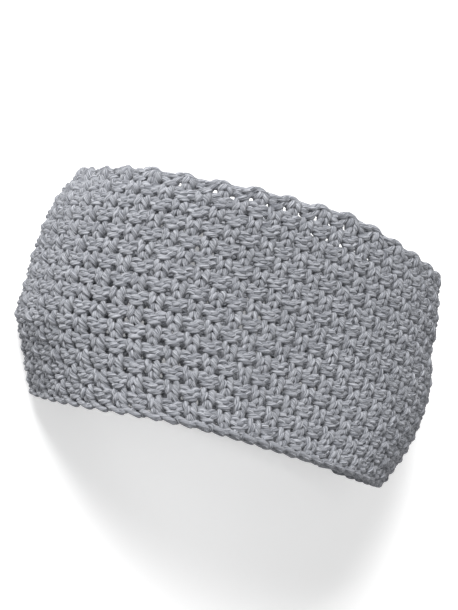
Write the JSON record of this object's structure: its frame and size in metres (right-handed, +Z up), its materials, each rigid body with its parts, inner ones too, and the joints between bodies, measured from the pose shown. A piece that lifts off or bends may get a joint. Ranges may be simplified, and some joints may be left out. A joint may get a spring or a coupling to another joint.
{
  "type": "knitted ear warmer headband",
  "caption": "Closed loop of thick grey moss-stitch knitting that warms the ears and forehead, lying on its side with the head opening open through it.",
  "frame": {"origin": "on the floor under the middle of the band as it lies on its side", "axes": "+Z up; +Y through the head opening, from the chain edge to the scalloped edge; +X along the lying loop's long side"},
  "size_m": [0.2, 0.1116, 0.1079],
  "materials": {
    "grey_knit": "matte plied wool-blend yarn"
  },
  "bodies": {
    "root": {"knit_band": "grey_knit"}
  },
  "joints": []
}
